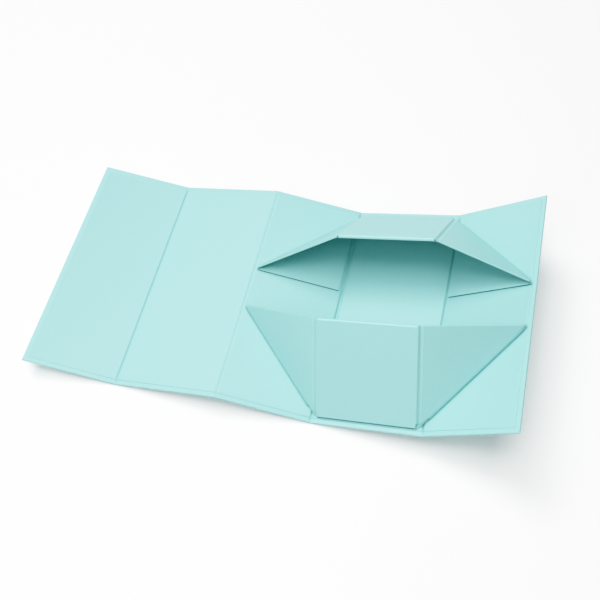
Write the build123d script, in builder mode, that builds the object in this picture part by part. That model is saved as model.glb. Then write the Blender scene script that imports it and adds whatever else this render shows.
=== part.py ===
"""Foldable gift box, lying half opened.

Five covered boards hang together in one strip: closure flap, lid, back wall, base and front wall.
Two side walls stand on the base and are tied to the back and front walls by folded corner gussets.
The box lies on the two creases that point down, with its side walls part way up.
X runs along the strip from the flap to the front wall, Y along the creases, and Z is up from the table.
Left and right are those of a person who faces the front wall: the left side wall is at negative Y.
"""

import os
from math import asin, atan2, cos, degrees, radians, sin, tan

from build123d import *

os.makedirs("parts", exist_ok=True)

# Panels of the strip, from crease to crease or from crease to free edge
box_length = 233.0
base_width = 100.0
wall_height = 90.0
lid_width = 102.0
flap_width = 90.5

# Side walls, hinged on the base near its two ends
side_wall_height = 90.0
side_wall_setback = 6.2

# Sheet thicknesses: a board is greyboard with the cover paper glued round it
panel_board = 2.3
side_board = 2.3
gusset_board = 1.1
liner_paper = 0.25
hinge_paper = 0.4
lining_paper = 0.3

# Creases of the strip: the boards stop short and paper alone bridges the gap
crease_gap = 5.6
crease_radius = 6.0
groove_radius = 0.5
turning_clearance = 0.2

# Folds of the side walls and gussets
fold_gap = 3.6
diagonal_gap = 1.7
hinge_gap = 1.0
anchor_setback = 4.6
corner_relief = 1.6
hinge_tab_width = 9.0
hinge_tab_inset = 3.0

# Soft edges and the border that the liner leaves
edge_radius = 0.8
side_edge_radius = 0.8
side_top_radius = 1.5
gusset_edge_radius = 0.7
gusset_corner_radius = 1.2
liner_border = 4.5

# Magnets in the flap and steel keepers in the front wall
magnet_diameter = 15.0
magnet_thickness = 1.5
magnet_fit = 0.1
magnet_from_crease = 72.0
magnet_from_end = 52.0

# How far the box stands open, in degrees
side_wall_angle = 41.3
lid_sag_angle = 20.2
flap_angle = 10.4

# The gussets tie the walls to the side walls, so both walls fold up from the base by this much
wall_fold = degrees(asin(tan(radians(side_wall_angle / 2))))

# Back wall and lid make a low ridge whose two feet stand on the table
ridge_run = wall_height + lid_width * cos(radians(lid_sag_angle))
back_slope = degrees(atan2(lid_width * sin(radians(lid_sag_angle)), ridge_run))
lid_slope = lid_sag_angle - back_slope
base_slope = wall_fold - back_slope
front_slope = base_slope + wall_fold

half_gap = crease_gap / 2
half_fold = fold_gap / 2
shoulder = half_gap + edge_radius
box_floor = panel_board + liner_paper
length_axis = Vector(0, 1, 0)


def along(side, slope):
    """Unit vector that leaves a crease to the right (side 1) or left (side -1) and climbs by slope degrees."""
    return Vector(side * cos(radians(slope)), 0, sin(radians(slope)))


def panel_plane(crease, side, slope):
    """Plane on a panel's outer face: X leaves the crease and Z points into the box."""
    inward = Vector(-side * sin(radians(slope)), 0, cos(radians(slope)))
    return Plane(origin=crease, x_dir=along(side, slope), z_dir=inward)


def profile_point(plane, distance, height):
    """Profile coordinates of a point at a distance from a panel's crease, above its outer face."""
    point = plane.from_local_coords(Vector(distance, 0, height))
    return (point.X, point.Z)


# The paper turns a crease on a radius, so the foot that stands on the table is above the sharp corner
foot_tilt = radians((base_slope - back_slope) / 2)
foot_turn = radians((base_slope + back_slope) / 2)
foot_lift = crease_radius * (cos(foot_tilt) / cos(foot_turn) - 1)

# Steps from the back crease to the other creases and to the two free ends
to_lid_crease = wall_height * along(-1, back_slope)
to_flap_crease = to_lid_crease + lid_width * along(-1, -lid_slope)
to_flap_end = to_flap_crease + flap_width * along(-1, flap_angle)
to_front_crease = base_width * along(1, base_slope)
to_front_end = to_front_crease + wall_height * along(1, front_slope)


def rounding_loss(slope):
    """How much the rounded free edge of a sloping panel draws its reach in."""
    return edge_radius * (cos(radians(slope)) + sin(radians(slope)) - 1)


# The origin lies on the table, midway between the outermost edges
left_reach = to_flap_end.X + rounding_loss(flap_angle)
right_reach = to_front_end.X - rounding_loss(front_slope)
back_crease = Vector(-(left_reach + right_reach) / 2, 0, -foot_lift)

flap_plane = panel_plane(back_crease + to_flap_crease, -1, flap_angle)
lid_plane = panel_plane(back_crease + to_lid_crease, -1, -lid_slope)
back_plane = panel_plane(back_crease, -1, back_slope)
base_plane = panel_plane(back_crease, 1, base_slope)
front_plane = panel_plane(back_crease + to_front_crease, 1, front_slope)


def save(part, name):
    """Label a finished piece and write it to its file."""
    part.label = name
    export_step(part, f"parts/{name}.step")


def covered_panel(plane, width, free_end):
    """A board in its cover paper: soft free edges and shoulders, and a flat edge under each crease."""
    stop = width if free_end else width - half_gap
    thickness_axis = Axis(plane.origin, plane.z_dir)
    width_axis = Axis(plane.origin, plane.x_dir)
    with BuildPart() as panel:
        with BuildSketch(plane):
            with Locations((half_gap, 0)):
                Rectangle(stop - half_gap, box_length, align=(Align.MIN, Align.CENTER))
        extrude(amount=panel_board)
        inner_edges = panel.faces().sort_by(thickness_axis)[-1].edges()
        outer_edges = panel.faces().sort_by(thickness_axis)[0].edges()
        across = outer_edges.filter_by(Axis.Y).sort_by(width_axis)
        soft_edges = inner_edges + outer_edges.filter_by(Axis.Y, reverse=True)
        if free_end:
            soft_edges += across[-1:]
        fillet(soft_edges, radius=edge_radius)
    return panel.part


def crease_paper(left_end, corner, right_end):
    """Cover and liner paper glued together, turning a crease between two boards."""
    with BuildPart() as paper:
        with BuildSketch(Plane.XZ):
            with BuildLine():
                FilletPolyline(left_end, corner, right_end, radius=crease_radius)
                offset(amount=hinge_paper, side=Side.LEFT)
            make_face()
        extrude(amount=box_length / 2, both=True)
    return paper.part


def liner_sheet(plane, start, stop):
    """Flat liner paper on a panel's inner face."""
    with BuildPart() as sheet:
        with BuildSketch(plane.offset(panel_board)):
            with Locations((start, 0)):
                Rectangle(stop - start, box_length - 2 * liner_border, align=(Align.MIN, Align.CENTER))
        extrude(amount=liner_paper)
    return sheet.part


# Back wall, base and lid: plain covered boards
save(covered_panel(back_plane, wall_height, free_end=False), "back_wall")
save(covered_panel(base_plane, base_width, free_end=False), "base_panel")
save(covered_panel(lid_plane, lid_width, free_end=False), "lid_panel")

# When the box is shut the flap lies on the front wall, so the keepers sit opposite the magnets
keeper_from_crease = wall_height - magnet_from_crease
magnet_row = box_length / 2 - magnet_from_end


def magnet_places(distance):
    """Two places across a panel, at a distance from its crease."""
    return Locations((distance, -magnet_row), (distance, magnet_row))


# Closure flap and front wall: covered boards with two round seats punched from the inner face
with BuildPart() as closure_flap:
    add(covered_panel(flap_plane, flap_width, free_end=True))
    with BuildSketch(flap_plane.offset(panel_board)):
        with magnet_places(magnet_from_crease):
            Circle(magnet_diameter / 2 + magnet_fit)
    extrude(amount=-magnet_thickness, mode=Mode.SUBTRACT)
save(closure_flap.part, "closure_flap")

with BuildPart() as front_wall:
    add(covered_panel(front_plane, wall_height, free_end=True))
    with BuildSketch(front_plane.offset(panel_board)):
        with magnet_places(keeper_from_crease):
            Circle(magnet_diameter / 2 + magnet_fit)
    extrude(amount=-magnet_thickness, mode=Mode.SUBTRACT)
save(front_wall.part, "front_wall")

# Discs that fill the seats flush with the board, under the liner
for names, plane, distance in (
    (("left_magnet", "right_magnet"), flap_plane, magnet_from_crease),
    (("left_keeper", "right_keeper"), front_plane, keeper_from_crease),
):
    for name, row in zip(names, (-1, 1)):
        with BuildPart() as disc:
            with BuildSketch(plane.offset(panel_board)):
                with Locations((distance, row * plane.y_dir.Y * magnet_row)):
                    Circle(magnet_diameter / 2)
            extrude(amount=-magnet_thickness)
        save(disc.part, name)

# Paper of the four creases; at the two hinges it stops just short of the board that swings
flap_hinge = crease_paper(
    profile_point(flap_plane, half_gap - turning_clearance, 0),
    profile_point(flap_plane, 0, 0),
    profile_point(lid_plane, lid_width - half_gap, 0),
)
save(flap_hinge, "flap_hinge_paper")
lid_hinge = crease_paper(
    profile_point(lid_plane, half_gap - turning_clearance, 0),
    profile_point(lid_plane, 0, 0),
    profile_point(back_plane, wall_height - half_gap, 0),
)
save(lid_hinge, "lid_hinge_paper")
back_turn = crease_paper(
    profile_point(back_plane, half_gap, 0),
    profile_point(back_plane, 0, 0),
    profile_point(base_plane, half_gap, 0),
)
save(back_turn, "back_crease_paper")
front_turn = crease_paper(
    profile_point(base_plane, base_width - half_gap, 0),
    profile_point(front_plane, 0, 0),
    profile_point(front_plane, half_gap, 0),
)
save(front_turn, "front_crease_paper")

# Liner of the lid and of the flap
save(liner_sheet(lid_plane, shoulder, lid_width - shoulder), "lid_liner")
save(liner_sheet(flap_plane, shoulder, flap_width - liner_border), "flap_liner")

# Liner of the tray: one sheet that dips into the creases on both sides of the base
crease_top = hinge_paper * tan(radians(wall_fold / 2))
groove_top_radius = crease_radius - hinge_paper
groove_radii = [groove_radius, groove_radius, groove_top_radius, groove_radius, groove_radius]
with BuildPart() as tray_liner:
    with BuildSketch(Plane.XZ):
        with BuildLine():
            FilletPolyline(
                profile_point(back_plane, wall_height - shoulder, panel_board),
                profile_point(back_plane, half_gap, panel_board),
                profile_point(back_plane, half_gap, hinge_paper),
                profile_point(base_plane, crease_top, hinge_paper),
                profile_point(base_plane, half_gap, hinge_paper),
                profile_point(base_plane, half_gap, panel_board),
                profile_point(base_plane, base_width - half_gap, panel_board),
                profile_point(base_plane, base_width - half_gap, hinge_paper),
                profile_point(base_plane, base_width - crease_top, hinge_paper),
                profile_point(front_plane, half_gap, hinge_paper),
                profile_point(front_plane, half_gap, panel_board),
                profile_point(front_plane, wall_height - liner_border, panel_board),
                radius=groove_radii + groove_radii,
            )
            offset(amount=liner_paper, side=Side.LEFT)
        make_face()
    extrude(amount=box_length / 2 - liner_border, both=True)
save(tray_liner.part, "tray_liner")

# Corner point of the left side wall at the back: four folds of the side lining meet here.
# It stands in from the back crease just enough for the glued gusset board to lie on the back wall.
half_lining = lining_paper / 2
inner_corner = box_floor * tan(radians(wall_fold / 2))
seat_rise = gusset_board + half_lining * (1 - cos(radians(wall_fold)))
corner_inset = inner_corner + seat_rise / sin(radians(wall_fold))
corner_y = side_wall_setback - box_length / 2
corner = base_plane.from_local_coords(Vector(corner_inset, corner_y, box_floor + half_lining))
side_wall_width = base_width - 2 * corner_inset

# Planes of the side lining: the side wall, the free half of a gusset and the half glued to the back wall
rise = length_axis * cos(radians(side_wall_angle)) + base_plane.z_dir * sin(radians(side_wall_angle))
diagonal = (length_axis + back_plane.x_dir).normalized()
side_plane = Plane(origin=corner, x_dir=base_plane.x_dir, z_dir=base_plane.x_dir.cross(rise))
gusset_plane = Plane(origin=corner, x_dir=rise, z_dir=rise.cross(diagonal))
anchor_plane = Plane(origin=corner, x_dir=length_axis, z_dir=back_plane.z_dir)
tab_plane = Plane(origin=corner, x_dir=base_plane.x_dir, z_dir=base_plane.z_dir)
base_middle_point = base_plane.from_local_coords(Vector(base_width / 2, 0, 0))
base_middle = Plane(origin=base_middle_point, x_dir=length_axis, z_dir=base_plane.x_dir)

# The glued half starts past the crease groove; both halves stop short of the diagonal and the tip
anchor_low = anchor_setback - (corner - back_crease).dot(back_plane.x_dir)
gusset_reach = side_wall_height - diagonal_gap


def gusset_triangle(low):
    """Right triangle of gusset board beside the diagonal fold, starting low above the short fold."""
    Polygon((low + diagonal_gap, low), (side_wall_height, low), (side_wall_height, gusset_reach), align=None)


def lining_facet(low):
    """Lining of a gusset half, up to the diagonal fold itself."""
    Polygon(
        (low, low), (side_wall_height, low), (side_wall_height, gusset_reach), (gusset_reach, gusset_reach),
        align=None,
    )


# Side wall board, hinged at its foot and standing outside the lining
with BuildPart() as side_wall:
    with BuildSketch(side_plane.offset(half_lining)):
        with Locations((half_fold, hinge_gap)):
            Rectangle(
                side_wall_width - fold_gap, side_wall_height - hinge_gap, align=(Align.MIN, Align.MIN)
            )
    extrude(amount=side_board)
    outward = Axis(side_plane.origin, side_plane.z_dir)
    free_edge = side_wall.faces().sort_by(outward)[-1].edges().sort_by(Axis(side_plane.origin, rise))[-1:]
    fillet(free_edge, radius=side_top_radius)
    end_faces = side_wall.faces().filter_by(Axis(side_plane.origin, side_plane.x_dir))
    fillet(end_faces.edges().sort_by(outward)[-4:], radius=side_edge_radius)

# Free half of the gusset, folded back over the glued half
with BuildPart() as gusset:
    with BuildSketch(gusset_plane.offset(half_lining)) as gusset_sketch:
        gusset_triangle(half_fold)
        fillet(gusset_sketch.vertices(), radius=gusset_corner_radius)
    extrude(amount=gusset_board)
    gusset_faces = gusset.faces().sort_by(Axis(gusset_plane.origin, gusset_plane.z_dir))
    fillet(gusset_faces[-1].edges(), radius=gusset_edge_radius)

# Half of the gusset that is glued to the back wall
with BuildPart() as anchor:
    with BuildSketch(anchor_plane.offset(-half_lining)) as anchor_sketch:
        gusset_triangle(anchor_low)
        fillet(anchor_sketch.vertices(), radius=gusset_corner_radius)
    extrude(amount=-gusset_board)

# Lining of a whole side: one folded sheet that joins side wall, gussets, glued halves and the tab on the base
with BuildPart() as side_lining:
    with BuildSketch(gusset_plane):
        lining_facet(0)
    extrude(amount=half_lining, both=True)
    with BuildSketch(anchor_plane):
        lining_facet(anchor_low)
    extrude(amount=half_lining, both=True)
    mirror(about=base_middle)
    with BuildSketch(side_plane):
        Rectangle(side_wall_width, side_wall_height, align=(Align.MIN, Align.MIN))
    extrude(amount=half_lining, both=True)
    with BuildSketch(tab_plane):
        with Locations((hinge_tab_inset, 0)):
            Rectangle(side_wall_width - 2 * hinge_tab_inset, hinge_tab_width, align=(Align.MIN, Align.MIN))
    extrude(amount=half_lining, both=True)
    with BuildSketch(side_plane):
        with Locations((0, 0), (side_wall_width, 0)):
            Circle(corner_relief)
    extrude(amount=side_wall_setback, both=True, mode=Mode.SUBTRACT)


def placed(piece, mirror_planes):
    """A copy of a left back piece, mirrored in each plane in turn."""
    copy = piece.part
    for plane in mirror_planes:
        copy = mirror(copy, about=plane)
    return copy


# The pieces above are the left side's, at the back wall: the front wall's and the right side's mirror them
for side, across_length in (("left", []), ("right", [Plane.XZ])):
    save(placed(side_wall, across_length), f"{side}_side_wall")
    save(placed(side_lining, across_length), f"{side}_side_lining")
    for wall, across_base in (("back", []), ("front", [base_middle])):
        save(placed(gusset, across_base + across_length), f"{side}_{wall}_gusset")
        save(placed(anchor, across_base + across_length), f"{side}_{wall}_anchor")
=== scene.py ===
"""Looks of the foldable gift box: papers, floor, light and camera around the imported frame.

The frame is in metres. Sizes below are in millimetres, as in the part's own source, and are scaled
when a mesh is made. X runs along the strip from the flap to the front wall, Y along the creases and
Z is up from the table.
"""

import math

import bmesh
import bpy
from mathutils import Matrix, Vector


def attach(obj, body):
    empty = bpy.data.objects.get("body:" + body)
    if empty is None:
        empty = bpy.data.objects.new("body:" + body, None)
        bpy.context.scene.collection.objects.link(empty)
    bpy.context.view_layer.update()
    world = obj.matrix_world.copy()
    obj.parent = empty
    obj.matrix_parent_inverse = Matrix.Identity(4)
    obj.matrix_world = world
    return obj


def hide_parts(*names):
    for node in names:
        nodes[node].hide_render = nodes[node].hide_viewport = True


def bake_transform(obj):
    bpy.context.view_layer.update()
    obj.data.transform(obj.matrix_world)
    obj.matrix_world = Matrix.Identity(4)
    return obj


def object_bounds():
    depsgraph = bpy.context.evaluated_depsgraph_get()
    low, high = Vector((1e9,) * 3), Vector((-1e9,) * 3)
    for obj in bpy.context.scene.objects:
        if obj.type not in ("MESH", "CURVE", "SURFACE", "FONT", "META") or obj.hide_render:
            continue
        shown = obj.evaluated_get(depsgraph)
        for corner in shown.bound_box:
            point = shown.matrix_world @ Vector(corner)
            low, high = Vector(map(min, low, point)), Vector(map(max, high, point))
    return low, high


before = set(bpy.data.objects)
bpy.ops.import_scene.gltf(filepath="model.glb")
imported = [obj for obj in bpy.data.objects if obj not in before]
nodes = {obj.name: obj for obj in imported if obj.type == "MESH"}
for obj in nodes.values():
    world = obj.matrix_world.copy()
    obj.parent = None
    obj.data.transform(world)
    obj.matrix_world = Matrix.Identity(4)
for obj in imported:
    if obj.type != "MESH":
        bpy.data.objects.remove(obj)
cad_low, cad_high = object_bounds()

MM = 0.001

# Angle between faces, in degrees, above which an edge is shaded sharp
SHARP_ANGLE = 40.0

# Camera of the photograph
LENS_MM = 48.25
SENSOR_MM = 36.0
CAMERA_PLACE = (0.15878, -0.35929, 0.67542)
CAMERA_TURN = (
    (0.968796, -0.163537, 0.186255),
    (0.233704, 0.853024, -0.466619),
    (-0.082570, 0.495587, 0.864625),
)

# Sizes of the strip, of the side walls and of the boards and papers, as the frame has them
BOX_LENGTH = 233.0
BASE_WIDTH = 100.0
WALL_HEIGHT = 90.0
LID_WIDTH = 102.0
FLAP_WIDTH = 90.5
SIDE_WALL_HEIGHT = 90.0
SIDE_WALL_SETBACK = 6.2
PANEL_BOARD = 2.3
SIDE_BOARD = 2.3
GUSSET_BOARD = 1.1
LINER_PAPER = 0.25
LINING_PAPER = 0.3
LINER_BORDER = 4.5
LINER_TOP = PANEL_BOARD + LINER_PAPER
HALF_GAP = 2.8
SHOULDER = 3.6
CREASE_RADIUS = 6.0
HALF_FOLD = 1.8
DIAGONAL_GAP = 1.7
SIDE_BOARD_ROUND = 0.8
GUSSET_BOARD_ROUND = 0.7

# Least half width of the bend at a crease
LEAST_SOFTNESS = 0.3

# How far the box stands open
SIDE_WALL_ANGLE = math.radians(41.3)
LID_SAG_ANGLE = math.radians(20.2)
FLAP_ANGLE = math.radians(10.4)
WALL_FOLD = math.asin(math.tan(SIDE_WALL_ANGLE / 2))
RIDGE_RUN = WALL_HEIGHT + LID_WIDTH * math.cos(LID_SAG_ANGLE)
BACK_SLOPE = math.atan2(LID_WIDTH * math.sin(LID_SAG_ANGLE), RIDGE_RUN)
LID_SLOPE = LID_SAG_ANGLE - BACK_SLOPE
BASE_SLOPE = WALL_FOLD - BACK_SLOPE
FRONT_SLOPE = BASE_SLOPE + WALL_FOLD

# Tones, as linear colours
MINT_COVER = (0.280, 0.600, 0.595)
MINT_LINER = (0.284, 0.604, 0.599)
# Painted highlight along the side walls' free edges
EDGE_HIGHLIGHT_TONE = (0.330, 0.700, 0.695)
# Dark teal of the glued boards: painted shade that stands in for the shadow line along their edges
BOARD_EDGE_SHADE = (0.060, 0.200, 0.200)
MAGNET_TONE = (0.62, 0.62, 0.63)
KEEPER_TONE = (0.50, 0.50, 0.51)
FLOOR_WHITE = (1.0, 0.99, 0.99)

# Noises of the paper's mottle, grain and fibres: scale, detail and roughness
MOTTLE_NOISE = (240.0, 3.0, 0.5)
GRAIN_NOISE = (1400.0, 4.0, 0.65)
FIBRE_NOISE = (420.0, 6.0, 0.7)

# Fibres: where in their noise they start and are full, how much they show, and how pale they are
FIBRE_START = 0.60
FIBRE_FULL = 0.72
FIBRE_SHARE = 0.10
FIBRE_GAIN = 1.25

# Tooth of the paper's surface, with its depth in metres
TOOTH_STRENGTH = 0.15
TOOTH_DEPTH = 0.00008

# How unevenly the paper shines, and how much
PAPER_GLOSS_SPREAD = 0.06
PAPER_SPECULAR = 0.5

# Painted shade in crevices where papers meet: the share of each colour that a shut crevice keeps
CREVICE_SHADE_SHARE = (0.50, 0.68, 0.68)

# How far that painted shade reaches, and how open a place is where it starts to fade and has faded
NOOK_REACH = 2.5
NOOK_SHUT = 0.30
NOOK_OPEN = 0.95
NOOK_SAMPLES = 8

# Painted highlight band below a side wall's free edge: where it starts and where it is full
HIGHLIGHT_START = 1.9
HIGHLIGHT_FULL = 1.0

# Polish of the plated metals
POLISH_DETAIL = 3.0
POLISH_GAIN = 0.93
METAL_GLOSS_SPREAD = 0.05


def clamped(value):
    """A value held between 0 and 1."""
    return min(1.0, max(0.0, value))


def smooth(t):
    """Ease from 0 to 1."""
    t = clamped(t)
    return t * t * (3 - 2 * t)


def wave_down(run):
    """Half a cosine wave, from 1 at a run of 0 down to 0 at a run of 1."""
    return (1 + math.cos(math.pi * clamped(run))) / 2


def panel(side, slope):
    """Direction along a panel from its crease, and its normal into the box, in the XZ plane."""
    along = Vector((side * math.cos(slope), math.sin(slope)))
    inward = Vector((-side * math.sin(slope), math.cos(slope)))
    return along, inward


def reverse(side):
    """The same panel seen from the crease at its other end."""
    return -side[0], side[1]


FLAP = panel(-1, FLAP_ANGLE)
LID = panel(-1, -LID_SLOPE)
BACK = panel(-1, BACK_SLOPE)
BASE = panel(1, BASE_SLOPE)
FRONT = panel(1, FRONT_SLOPE)

# Corners of the strip in the XZ plane: the back one follows from the frame's own box
back_corner = Vector((52.594, -0.1136))
lid_corner = back_corner + WALL_HEIGHT * BACK[0]
flap_corner = lid_corner + LID_WIDTH * LID[0]
front_corner = back_corner + BASE_WIDTH * BASE[0]


class Crease:
    """A crease of the strip, which places the points of the papers that bend over it.

    A point is given by its distance along the paper and its height above the outer face. The
    groove is where the inner papers dip: it slopes down from the left and rises to the right.
    """

    def __init__(self, corner, left, right, depth, groove):
        self.corner, self.left, self.right = corner, left, right
        self.depth, self.groove = depth, groove
        turn = (-left[0]).angle(right[0])
        self.soft = max(LEAST_SOFTNESS, CREASE_RADIUS * math.tan(turn / 2))

    def point(self, distance, height):
        """X and Z of a point."""
        reach = abs(distance)
        if reach < self.soft:
            reach = (reach * reach + self.soft * self.soft) / (2 * self.soft)
        forward, backward = (reach + distance) / 2, (reach - distance) / 2
        share = smooth((distance + HALF_GAP) / (2 * HALF_GAP))
        normal = (self.left[1] * (1 - share) + self.right[1] * share).normalized()
        spot = self.corner + forward * self.right[0] + backward * self.left[0] + height * normal
        return spot.x, spot.y

    def place(self, distance, y, height):
        """X, Y and Z of a point."""
        x, z = self.point(distance, height)
        return x, y, z

    def dip(self, distance):
        """How far the paper dips at a distance from the crease."""
        left_top, left_foot, right_foot, right_top = self.groove
        if distance < left_foot:
            run = (left_foot - distance) / (left_foot - left_top)
        else:
            run = (distance - right_foot) / (right_top - right_foot)
        return self.depth * wave_down(run)


# Creases, each with its groove's depth, and the groove's left top and foot and right foot and top
flap_crease = Crease(flap_corner, FLAP, reverse(LID), 1.15, (-0.7, 1.7, 1.9, 2.95))
lid_crease = Crease(lid_corner, LID, reverse(BACK), 0.45, (-0.9, 1.5, 1.7, 2.95))
back_crease = Crease(back_corner, BACK, BASE, 1.25, (-3.1, -0.9, -0.4, 2.6))
front_crease = Crease(front_corner, reverse(BASE), FRONT, 1.7, (-0.5, 1.7, 2.0, 2.95))

# Half the side lining, its extra height on the back wall, and its corner's distance from the crease
half_lining = LINING_PAPER / 2
seat_rise = GUSSET_BOARD + half_lining * (1 - math.cos(WALL_FOLD))
corner_inset = LINER_TOP * math.tan(WALL_FOLD / 2) + seat_rise / math.sin(WALL_FOLD)


def solid(flat):
    """A direction of the XZ plane as one in space."""
    return Vector((flat.x, 0.0, flat.y))


# Corner of the left side wall at the back, where its four folds start, and its directions
LENGTHWISE = Vector((0, 1, 0))
base_along, base_inward = solid(BASE[0]), solid(BASE[1])
back_along, back_inward = solid(BACK[0]), solid(BACK[1])
side_corner = (
    Vector((back_corner.x, SIDE_WALL_SETBACK - BOX_LENGTH / 2, back_corner.y))
    + corner_inset * base_along + (LINER_TOP + half_lining) * base_inward
)
rise = LENGTHWISE * math.cos(SIDE_WALL_ANGLE) + base_inward * math.sin(SIDE_WALL_ANGLE)
diagonal = (LENGTHWISE + back_along).normalized()
side_out = base_along.cross(rise)
gusset_out = rise.cross(diagonal).normalized()
gusset_along = gusset_out.cross(rise)
base_middle = Vector((back_corner.x, 0, back_corner.y)) + BASE_WIDTH / 2 * base_along


def new_piece(name, points, faces, material):
    """A mesh object from points in millimetres, shaded smooth except at sharp edges."""
    mesh = bpy.data.meshes.new(name)
    mesh.from_pydata([Vector(p) * MM for p in points], [], faces)
    mesh.validate()
    for polygon in mesh.polygons:
        polygon.use_smooth = True
    mesh.set_sharp_from_angle(angle=math.radians(SHARP_ANGLE))
    mesh.materials.append(material)
    piece = bpy.data.objects.new(name, mesh)
    bpy.context.scene.collection.objects.link(piece)
    return piece


def face_outward(piece):
    """Turns a closed piece's faces outward."""
    work = bmesh.new()
    work.from_mesh(piece.data)
    bmesh.ops.recalc_face_normals(work, faces=work.faces)
    work.to_mesh(piece.data)
    work.free()


def slab(name, upper, lower, material):
    """A closed sheet between two grids of points, each a list of rows of equal length."""
    rows, columns = len(upper), len(upper[0])
    points = [p for row in upper for p in row] + [p for row in lower for p in row]
    base = rows * columns
    last_row, last_column = rows - 1, columns - 1

    def up(i, j):
        return i * columns + j

    def down(i, j):
        return base + i * columns + j

    faces = []
    for i in range(last_row):
        for j in range(last_column):
            faces.append((up(i, j), up(i, j + 1), up(i + 1, j + 1), up(i + 1, j)))
            faces.append((down(i, j), down(i + 1, j), down(i + 1, j + 1), down(i, j + 1)))
    for j in range(last_column):
        faces.append((up(0, j), down(0, j), down(0, j + 1), up(0, j + 1)))
        faces.append((
            up(last_row, j), up(last_row, j + 1), down(last_row, j + 1), down(last_row, j),
        ))
    for i in range(last_row):
        faces.append((up(i, 0), up(i + 1, 0), down(i + 1, 0), down(i, 0)))
        faces.append((
            up(i, last_column), down(i, last_column),
            down(i + 1, last_column), up(i + 1, last_column),
        ))
    piece = new_piece(name, points, faces, material)
    face_outward(piece)
    return piece


def grids(rows, columns, pair):
    """Upper and lower grids of a sheet, from the pair of points at each row and column."""
    pairs = [[pair(row, column) for column in columns] for row in rows]
    return [[[points[face] for points in row] for row in pairs] for face in (0, 1)]


def new_material(name):
    """A material, its node tree and its shader."""
    material = bpy.data.materials.new(name)
    material.use_nodes = True
    tree = material.node_tree
    return material, tree, tree.nodes["Principled BSDF"]


def noise(tree, place, scale, detail, roughness=0.5):
    """Noise node over the object's own space."""
    node = tree.nodes.new("ShaderNodeTexNoise")
    node.inputs["Scale"].default_value = scale
    node.inputs["Detail"].default_value = detail
    node.inputs["Roughness"].default_value = roughness
    tree.links.new(place.outputs["Object"], node.inputs["Vector"])
    return node


def tone_mix(tree, factor, low, high):
    """Colour mix node between two tones."""
    node = tree.nodes.new("ShaderNodeMix")
    node.data_type = "RGBA"
    node.inputs["A"].default_value = (*low, 1)
    node.inputs["B"].default_value = (*high, 1)
    tree.links.new(factor, node.inputs["Factor"])
    return node


def ranged(tree, value, low, high, to_low=0.0, to_high=1.0):
    """Clamped map of a value to a new range."""
    node = tree.nodes.new("ShaderNodeMapRange")
    node.inputs["From Min"].default_value = low
    node.inputs["From Max"].default_value = high
    node.inputs["To Min"].default_value = to_low
    node.inputs["To Max"].default_value = to_high
    tree.links.new(value, node.inputs["Value"])
    return node


def vary_roughness(tree, shader, value, middle, spread):
    """Lets the shader's roughness follow a value between 0 and 1."""
    gloss = ranged(tree, value, 0.0, 1.0, middle - spread, middle + spread)
    tree.links.new(gloss.outputs["Result"], shader.inputs["Roughness"])


def scaled(tone, gain):
    """A tone made darker or lighter."""
    return [min(1, c * gain) for c in tone]


def paper_material(name, tone, mottle=0.02, roughness=0.58):
    """Matte dyed paper: slow mottle, sparse pale fibres, fine grain, a faint tooth, and painted
    shade in its crevices.
    """
    material, tree, shader = new_material(name)
    place = tree.nodes.new("ShaderNodeTexCoord")
    slow = noise(tree, place, *MOTTLE_NOISE)
    fine = noise(tree, place, *GRAIN_NOISE)
    fibre = noise(tree, place, *FIBRE_NOISE)

    base = tone_mix(tree, slow.outputs["Fac"], scaled(tone, 1 - mottle), scaled(tone, 1 + mottle))
    flecks = ranged(tree, fibre.outputs["Fac"], FIBRE_START, FIBRE_FULL, 0.0, FIBRE_SHARE)
    paper = tone_mix(tree, flecks.outputs["Result"], tone, scaled(tone, FIBRE_GAIN))
    tree.links.new(base.outputs["Result"], paper.inputs["A"])

    # Painted shade: ambient occlusion darkens the paper's colour where papers meet, where shade
    # falls
    crevice_ao = tree.nodes.new("ShaderNodeAmbientOcclusion")
    crevice_ao.samples = NOOK_SAMPLES
    crevice_ao.inputs["Distance"].default_value = NOOK_REACH * MM
    openness = ranged(tree, crevice_ao.outputs["AO"], NOOK_SHUT, NOOK_OPEN)
    deep = [c * share for c, share in zip(tone, CREVICE_SHADE_SHARE)]
    shaded = tone_mix(tree, openness.outputs["Result"], deep, tone)
    tree.links.new(paper.outputs["Result"], shaded.inputs["B"])
    tree.links.new(shaded.outputs["Result"], shader.inputs["Base Color"])

    vary_roughness(tree, shader, fine.outputs["Fac"], roughness, PAPER_GLOSS_SPREAD)
    tooth = tree.nodes.new("ShaderNodeBump")
    tooth.inputs["Strength"].default_value = TOOTH_STRENGTH
    tooth.inputs["Distance"].default_value = TOOTH_DEPTH
    tree.links.new(fine.outputs["Fac"], tooth.inputs["Height"])
    tree.links.new(tooth.outputs["Normal"], shader.inputs["Normal"])
    shader.inputs["Specular IOR Level"].default_value = PAPER_SPECULAR
    return material


def metal_material(name, tone, roughness, grain):
    """Plated metal with a fine uneven polish."""
    material, tree, shader = new_material(name)
    place = tree.nodes.new("ShaderNodeTexCoord")
    polish = noise(tree, place, grain, POLISH_DETAIL)
    plating = tone_mix(tree, polish.outputs["Fac"], scaled(tone, POLISH_GAIN), tone)
    tree.links.new(plating.outputs["Result"], shader.inputs["Base Color"])
    vary_roughness(tree, shader, polish.outputs["Fac"], roughness, METAL_GLOSS_SPREAD)
    shader.inputs["Metallic"].default_value = 1.0
    return material


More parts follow.
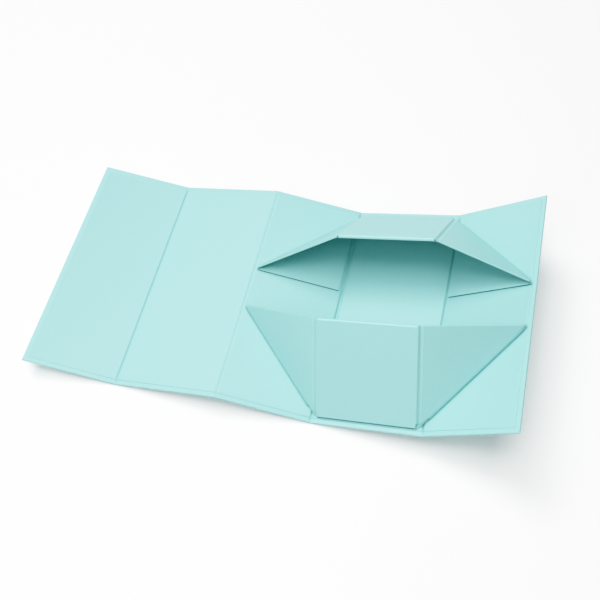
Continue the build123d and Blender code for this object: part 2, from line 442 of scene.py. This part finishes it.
def paint_free_edge_highlight(material, tone):
    """Paints a lighter band on the paper where it turns over a side wall's free edge: a painted
    highlight.
    """
    tree = material.node_tree
    shader = tree.nodes["Principled BSDF"]
    paper = shader.inputs["Base Color"].links[0].from_socket
    spot = tree.nodes.new("ShaderNodeNewGeometry")
    apart = tree.nodes.new("ShaderNodeVectorMath")
    apart.operation = "ABSOLUTE"
    tree.links.new(spot.outputs["Position"], apart.inputs[0])
    upward = Vector((rise.x, -rise.y, rise.z))
    up = tree.nodes.new("ShaderNodeVectorMath")
    up.operation = "DOT_PRODUCT"
    up.inputs[1].default_value = upward
    tree.links.new(apart.outputs["Vector"], up.inputs[0])
    top = Vector((side_corner.x, -side_corner.y, side_corner.z)).dot(upward) + SIDE_WALL_HEIGHT
    highlight_band = ranged(tree, up.outputs["Value"], (top - HIGHLIGHT_START) * MM, (top - HIGHLIGHT_FULL) * MM)
    edge = tone_mix(tree, highlight_band.outputs["Result"], tone, tone)
    tree.links.new(paper, edge.inputs["A"])
    tree.links.new(edge.outputs["Result"], shader.inputs["Base Color"])


cover_paper = paper_material("mint_cover_paper", MINT_COVER)
liner_finish = paper_material("mint_liner_paper", MINT_LINER)
# Cover paper of the side walls, with a painted highlight along their free edges
side_cover = paper_material("mint_side_cover_paper", MINT_COVER)
# Glued boards in a dark teal: painted shade standing in for the shadow line along their edges
shaded_board_edge = paper_material("glued_board_edge_painted_shade", BOARD_EDGE_SHADE, mottle=0.05, roughness=0.8)
magnet_metal = metal_material("magnet_plating", MAGNET_TONE, roughness=0.22, grain=900.0)
keeper_metal = metal_material("keeper_steel", KEEPER_TONE, roughness=0.38, grain=1500.0)
paint_free_edge_highlight(side_cover, EDGE_HIGHLIGHT_TONE)

# Finish of each node of the frame, by the first of these words in its name, or else cover paper
FINISH_WORDS = (
    ("liner", liner_finish),
    ("lining", liner_finish),
    ("side_wall", side_cover),
    ("anchor", shaded_board_edge),
    ("magnet", magnet_metal),
    ("keeper", keeper_metal),
)
for name, node in nodes.items():
    finish = next((material for word, material in FINISH_WORDS if word in name), cover_paper)
    node.data.materials.clear()
    node.data.materials.append(finish)

# Share of its depth that a groove keeps at the strip's two ends, and how far inside them it fades
END_SHARE = 0.3
END_REACH = 9.0

# Cockled edge of the liner: its height, its width, and the places across it
EDGE_LIFT = 0.26
EDGE_BAND = 1.7
EDGE_STEPS = [EDGE_BAND * share for share in (1.0, 0.75, 0.5, 0.25, 0.0)]

# Places of the papers' points across a groove
GROOVE_DIVISIONS = 16
GROOVE_STEPS = [
    i * SHOULDER / GROOVE_DIVISIONS for i in range(-GROOVE_DIVISIONS, GROOVE_DIVISIONS + 1)
]

# Places of the liner's rows along Y, from the middle of the strip to the liner's edge
LINER_END = BOX_LENGTH / 2 - LINER_BORDER
LINER_ROWS = [0.0, 60.0, 100.0, 104.0, 107.0, 109.0] + [LINER_END - step for step in EDGE_STEPS]

# Distance inside a free edge that stands for none nearby
NO_EDGE = 99.0


def end_share(y):
    """Share of its depth that a groove keeps near the two ends of the strip."""
    return 1 - (1 - END_SHARE) * smooth((abs(y) - (BOX_LENGTH / 2 - END_REACH)) / END_REACH)


def edge_lift(inside):
    """How far glued paper cockles up, by its distance inside its own edge."""
    return EDGE_LIFT * math.sin(math.pi * clamped(inside / EDGE_BAND)) ** 2


def liner_rows(parts):
    """Grids of a liner: parts give crease, distance from it, and distance inside a free edge."""
    def pair(y, part):
        crease, distance, inside = part
        dip = crease.dip(distance) * end_share(y)
        lift = max(edge_lift(LINER_END - abs(y)), edge_lift(inside)) * (1 - dip / crease.depth)
        top = crease.place(distance, y, LINER_TOP - dip + lift)
        return top, crease.place(distance, y, PANEL_BOARD - dip)

    return grids([-y for y in reversed(LINER_ROWS[1:])] + LINER_ROWS, parts, pair)


def over_crease(crease):
    """Parts of a liner over one crease."""
    return [(crease, s, NO_EDGE) for s in GROOVE_STEPS]


def to_free_edge(crease, length, side):
    """Parts of a liner that ends freely on the right (side 1) or left (side -1) of its crease."""
    parts = [(crease, side * (length - inside), inside) for inside in EDGE_STEPS]
    return parts if side > 0 else parts[::-1]


def blend_over(piece, crease, bodies):
    """Bakes a piece's own transform into its mesh."""
    start = crease.point(-HALF_GAP, 0)
    end = crease.point(HALF_GAP, 0)
    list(bodies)
    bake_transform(piece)


# Liner over the two creases that move
for name, crease, bodies in (
    ("flap_crease_liner", flap_crease, ("flap", "lid")),
    ("lid_crease_liner", lid_crease, ("lid", "root")),
):
    piece = slab(name, *liner_rows(over_crease(crease)), liner_finish)
    blend_over(piece, crease, bodies)

# Liner of the flap, of the lid, and of the tray, which is one sheet from back wall to front wall
FLAP_LINER_PARTS = (
    to_free_edge(flap_crease, FLAP_WIDTH - LINER_BORDER, -1) + [(flap_crease, -SHOULDER, NO_EDGE)]
)
LID_LINER_PARTS = [(flap_crease, SHOULDER, NO_EDGE), (lid_crease, -SHOULDER, NO_EDGE)]
TRAY_LINER_PARTS = (
    [(back_crease, SHOULDER - WALL_HEIGHT, NO_EDGE)]
    + over_crease(back_crease) + over_crease(front_crease)
    + to_free_edge(front_crease, WALL_HEIGHT - LINER_BORDER, 1)
)
for name, parts, body, node_name in (
    ("flap_liner_paper", FLAP_LINER_PARTS, "flap", "flap_liner"),
    ("lid_liner_paper", LID_LINER_PARTS, "lid", "lid_liner"),
    ("tray_liner_paper", TRAY_LINER_PARTS, "root", "tray_liner"),
):
    piece = slab(name, *liner_rows(parts), liner_finish)
    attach(piece, body)
    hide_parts(node_name)

# Cover paper of the creases, turned in at both ends: the turn's rounding and its steps
TURN_IN_ROUND = 0.45
TURN_IN_STEPS = 4

# Distances of the cover's other rows from the end of the strip
COVER_INSETS = (END_REACH, 7.5, 6.0, 4.6, 3.4, 2.2, 1.1)

# Thickness of the cover over the boards, and how far inside the gap it starts to lie on them
COVER_PAPER = 0.12
COVER_LAP = 0.05

# Most that each face of the cover gives way in the turn, as a share of its thickness
MOST_PINCH = 0.49


def cover_rows(crease):
    """Grids of a crease's cover paper, from one end of the strip to the other."""
    end = BOX_LENGTH / 2
    half = [(end - inset, 0.0) for inset in COVER_INSETS]
    for step in range(TURN_IN_STEPS + 1):
        angle = math.radians(90 * step / TURN_IN_STEPS)
        inset, shrink = TURN_IN_ROUND * (1 - math.sin(angle)), TURN_IN_ROUND * (1 - math.cos(angle))
        half.append((end - inset, shrink))

    def pair(row, distance):
        y, shrink = row
        top = PANEL_BOARD - crease.dip(distance) * end_share(y)
        over_board = abs(distance) > HALF_GAP - COVER_LAP
        bottom = top - COVER_PAPER if over_board else 0.0
        shrunk = min(shrink, (top - bottom) * MOST_PINCH)
        return crease.place(distance, y, top - shrunk), crease.place(distance, y, bottom + shrunk)

    return grids([(-y, shrink) for y, shrink in reversed(half)] + half, GROOVE_STEPS, pair)


for name, crease, bodies, node_name in (
    ("flap_crease_cover", flap_crease, ("flap", "lid"), "flap_hinge_paper"),
    ("lid_crease_cover", lid_crease, ("lid", "root"), "lid_hinge_paper"),
    ("back_crease_cover", back_crease, ("root",), "back_crease_paper"),
    ("front_crease_cover", front_crease, ("root",), "front_crease_paper"),
):
    piece = slab(name, *cover_rows(crease), cover_paper)
    if len(bodies) == 2:
        blend_over(piece, crease, bodies)
    else:
        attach(piece, bodies[0])
    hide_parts(node_name)

# Paper over the fold between a side wall and its gusset, a channel: its middle and reach each way
FOLD_SHIFT = -0.5
FOLD_ON_WALL = 1.75
FOLD_ON_GUSSET = 2.6

# Half width of the channel's floor, and its height above the lining's middle
FOLD_FLAT = 0.25
FOLD_FLOOR = 0.65

# Thickness of the papers over the folds of the side wall and of its gusset
WEB_PAPER = 0.22

# Half width of the side wall's fold paper, and the steps across it
FOLD_EDGE = 2.8
FOLD_DIVISIONS = 14

# How far that paper lies over a board's shoulder, and how far it sinks in at its edges
FOLD_OVER_SHOULDER = 0.03
FOLD_SINK = 0.02

# Least heights of its upper and lower faces above the lining's middle
LEAST_UPPER = 0.35
LEAST_LOWER = 0.1

# Places up the fold, and how far the paper drops there, at its foot and over the free edge
FOLD_START = 4.4
FOLD_TOP = SIDE_WALL_HEIGHT - FOLD_SINK
FOLD_STATIONS = (
    (FOLD_START, 0.3), (FOLD_START + 0.6, 0.1), (FOLD_START + 1.6, 0.0),
    (12.0, 0.0), (45.0, 0.0), (80.0, 0.0),
    (FOLD_TOP - 1.2, 0.0), (FOLD_TOP - 0.6, 0.06), (FOLD_TOP - 0.25, 0.2),
    (FOLD_TOP - 0.08, 0.38), (FOLD_TOP, 0.6),
)
side_face = half_lining + SIDE_BOARD
gusset_face = half_lining + GUSSET_BOARD


def board_shoulder(distance, face, edge_round):
    """Height of a board's rounded shoulder beside a fold."""
    into = HALF_FOLD + edge_round - distance
    if into <= 0:
        return face
    if into >= edge_round:
        return face - edge_round
    return face - (edge_round - math.sqrt(edge_round ** 2 - into ** 2))


def fold_height(distance):
    """Height of the paper over a fold above the lining's middle, by distance onto the side wall."""
    if distance > FOLD_SHIFT:
        face, reach, edge_round = side_face, FOLD_ON_WALL - FOLD_SHIFT, SIDE_BOARD_ROUND
    else:
        face, reach, edge_round = gusset_face, FOLD_ON_GUSSET + FOLD_SHIFT, GUSSET_BOARD_ROUND
    if abs(distance) >= FOLD_EDGE:
        return face - FOLD_SINK
    run = (abs(distance - FOLD_SHIFT) - FOLD_FLAT) / (reach - FOLD_FLAT)
    height = face - (face - FOLD_FLOOR) * wave_down(run)
    if abs(distance) > HALF_FOLD:
        shoulder = board_shoulder(abs(distance), face, edge_round)
        height = max(height, shoulder + FOLD_OVER_SHOULDER)
    return height


def fold_web_rows():
    """Grids of the paper over the fold of a side wall, from near its foot to its free edge."""
    def pair(station, d):
        up, drop = station
        share = smooth((d + HALF_FOLD) / (2 * HALF_FOLD))
        normal = (gusset_out * (1 - share) + side_out * share).normalized()
        spot = side_corner + up * rise + (d * base_along if d > 0 else -d * gusset_along)
        height = max(LEAST_UPPER, fold_height(d) - drop)
        return spot + height * normal, spot + max(LEAST_LOWER, height - WEB_PAPER) * normal

    distances = [
        FOLD_EDGE * i / FOLD_DIVISIONS for i in range(-FOLD_DIVISIONS, FOLD_DIVISIONS + 1)
    ]
    return grids(FOLD_STATIONS, distances, pair)


# Paper round a gusset's diagonal fold: offsets of the control points of its curve and of its centre
DIAGONAL_LEAD = 1.35
DIAGONAL_LOW_OUT = 0.75
DIAGONAL_LOW_UP = 0.1
DIAGONAL_FOOT_OUT = 0.45
DIAGONAL_CENTRE = 0.4

# Steps along that curve, from the gusset's outer face to the wall it is glued to
DIAGONAL_DIVISIONS = 10

# Share of the way up the diagonal fold, and the size of the curve there: it is drawn in at the tip
DIAGONAL_STATIONS = (
    (0.1, 1.0), (0.15, 1.0), (0.4, 1.0), (0.7, 1.0), (0.9, 1.0),
    (0.95, 0.8), (0.975, 0.55), (0.99, 0.3), (0.997, 0.1),
)


def away_from(direction, other):
    """A direction, turned round where it points the other's way."""
    return -direction if direction.dot(other) > 0 else direction


def bezier(t, start, lead, low, foot):
    """Point of a cubic curve with four control points."""
    return (
        (1 - t) ** 3 * start + 3 * t * (1 - t) ** 2 * lead
        + 3 * t * t * (1 - t) * low + t ** 3 * foot
    )


def diagonal_web_rows():
    """Grids of the paper round the diagonal fold, from the corner to the tip."""
    out = away_from(gusset_out.cross(diagonal), rise)
    wall_out = away_from(back_inward.cross(diagonal), LENGTHWISE)
    face_edge = DIAGONAL_GAP / math.sqrt(2) + GUSSET_BOARD_ROUND
    start = -face_edge * out + gusset_face * gusset_out
    lead = start + DIAGONAL_LEAD * out
    low = DIAGONAL_LOW_OUT * wall_out + DIAGONAL_LOW_UP * back_inward
    foot = DIAGONAL_FOOT_OUT * wall_out - gusset_face * back_inward
    curve = [
        bezier(i / DIAGONAL_DIVISIONS, start, lead, low, foot)
        for i in range(DIAGONAL_DIVISIONS + 1)
    ]
    centre = -DIAGONAL_CENTRE * out
    inner = [p + WEB_PAPER * (centre - p).normalized() for p in curve]
    gusset_reach = SIDE_WALL_HEIGHT - DIAGONAL_GAP
    middle = sum(curve, Vector()) / len(curve)
    upper, lower = [], []
    for share, size in DIAGONAL_STATIONS:
        origin = side_corner + share * gusset_reach * math.sqrt(2) * diagonal
        upper.append([origin + middle + size * (p - middle) for p in curve])
        lower.append([origin + middle + size * (p - middle) for p in inner])
    return upper, lower


# Lining gathered into each corner, below the folds of the side wall: its reach and its thickness
GATHER_REACH = 6.0
GATHER_PAPER = 0.16

# Shares of that reach at which the lining has points
GATHER_SHARES = (0.02, 0.35, 0.7, 1.0)


def gathered_rows():
    """Grids of the lining at the corner, from fold to fold and from the corner outward."""
    out = (side_out + gusset_out).normalized()
    upper, lower = [], []
    for fold in (base_along, rise, diagonal):
        spots = [side_corner + share * GATHER_REACH * fold for share in GATHER_SHARES]
        upper.append([p + GATHER_PAPER / 2 * out for p in spots])
        lower.append([p - GATHER_PAPER / 2 * out for p in spots])
    return upper, lower


def mirrored(point, to_front, to_right):
    """A point of the left back corner, carried to another corner of the box."""
    point = Vector(point)
    if to_front:
        point = point - 2 * (point - base_middle).dot(base_along) * base_along
    if to_right:
        point = Vector((point.x, -point.y, point.z))
    return point


CORNERS = [
    (f"{side}_{wall}", wall == "front", side == "right")
    for side in ("left", "right") for wall in ("back", "front")
]
CORNER_PAPERS = (
    ("fold_paper", fold_web_rows(), cover_paper, "side_cover"),
    ("diagonal_fold_paper", diagonal_web_rows(), cover_paper, "side_cover"),
    ("gathered_lining", gathered_rows(), liner_finish, "liner_paper"),
)
for label, to_front, to_right in CORNERS:
    for kind, rows, finish, slot in CORNER_PAPERS:
        moved = [[[mirrored(p, to_front, to_right) for p in row] for row in grid] for grid in rows]
        piece = slab(f"{label}_{kind}", *moved, finish)
        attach(piece, "root")

# Floor, with its size in metres: a little light of its own keeps it white
FLOOR_SIZE = 8.0
FLOOR_ROUGHNESS = 0.9
FLOOR_SPECULAR = 0.1
FLOOR_GLOW = 0.08
bpy.ops.mesh.primitive_plane_add(size=FLOOR_SIZE, location=(0, 0, cad_low.z))
floor = bpy.context.object
floor.name = "floor"
floor_paint, _, floor_shader = new_material("floor_white")
floor_shader.inputs["Base Color"].default_value = (*FLOOR_WHITE, 1)
floor_shader.inputs["Roughness"].default_value = FLOOR_ROUGHNESS
floor_shader.inputs["Specular IOR Level"].default_value = FLOOR_SPECULAR
floor_shader.inputs["Emission Color"].default_value = (1, 1, 1, 1)
floor_shader.inputs["Emission Strength"].default_value = FLOOR_GLOW
floor.data.materials.append(floor_paint)

# Camera
camera_data = bpy.data.cameras.new("camera")
camera = bpy.data.objects.new("camera", camera_data)
bpy.context.scene.collection.objects.link(camera)
camera_data.sensor_width = SENSOR_MM
camera_data.lens = LENS_MM
camera.matrix_world = Matrix.Translation(CAMERA_PLACE) @ Matrix(CAMERA_TURN).to_4x4()
bpy.context.scene.camera = camera

# Soft boxes, aimed at the frame's origin: place and size in metres, and power in watts
LIGHT_AIM = Vector((0, 0, 0))
LIGHTS = (
    ("over_light", (0.05, 0.0, 3.0), 1.6, 83.0),
    ("left_back_light", (-1.2, 1.2, 2.5), 1.3, 85.0),
    ("low_left_light", (-2.6, 0.0, 1.5), 1.6, 6.2),
    ("near_front_light", (-0.1, -0.4, 1.0), 0.6, 4.0),
    ("low_front_light", (-0.05, -0.68, 0.65), 0.6, 2.0),
)
for name, place, size, power in LIGHTS:
    lamp_data = bpy.data.lights.new(name, "AREA")
    lamp_data.shape = "SQUARE"
    lamp_data.size = size
    lamp_data.energy = power
    lamp = bpy.data.objects.new(name, lamp_data)
    bpy.context.scene.collection.objects.link(lamp)
    lamp.location = place
    lamp.rotation_euler = (LIGHT_AIM - Vector(place)).to_track_quat("-Z", "Y").to_euler()

# Even light from all round
STUDIO_STRENGTH = 0.15
world = bpy.data.worlds.new("studio")
bpy.context.scene.world = world
world.use_nodes = True
background = world.node_tree.nodes["Background"]
background.inputs["Color"].default_value = (1, 1, 1, 1)
background.inputs["Strength"].default_value = STUDIO_STRENGTH

# Tone of the photograph: deep shades are held down, highlights roll off softly to paper white
TONE_GAIN = 1.112
TONE_TOE = 0.12
TONE_TOP = 2.6
TONE_STEPS = (
    0.0, 0.04, 0.08, 0.14, 0.22, 0.32, 0.45, 0.6, 0.8, 1.0, 1.25, 1.5, 1.8, 2.1, 2.35, 2.6,
)
COMBINED_CURVE = 3
view = bpy.context.scene.view_settings
view.view_transform = "Standard"
view.look = "None"
view.use_curve_mapping = True
tone = view.curve_mapping
tone.white_level = (TONE_TOP, TONE_TOP, TONE_TOP)
tone_curve = tone.curves[COMBINED_CURVE]
while len(tone_curve.points) < len(TONE_STEPS):
    tone_curve.points.new(0.5, 0.5)
for point, light in zip(tone_curve.points, TONE_STEPS):
    shown = TONE_GAIN * (1 - math.exp(-light * light / (light + TONE_TOE)))
    point.location = (light / TONE_TOP, min(1.0, shown))
    point.handle_type = "AUTO"
tone.update()
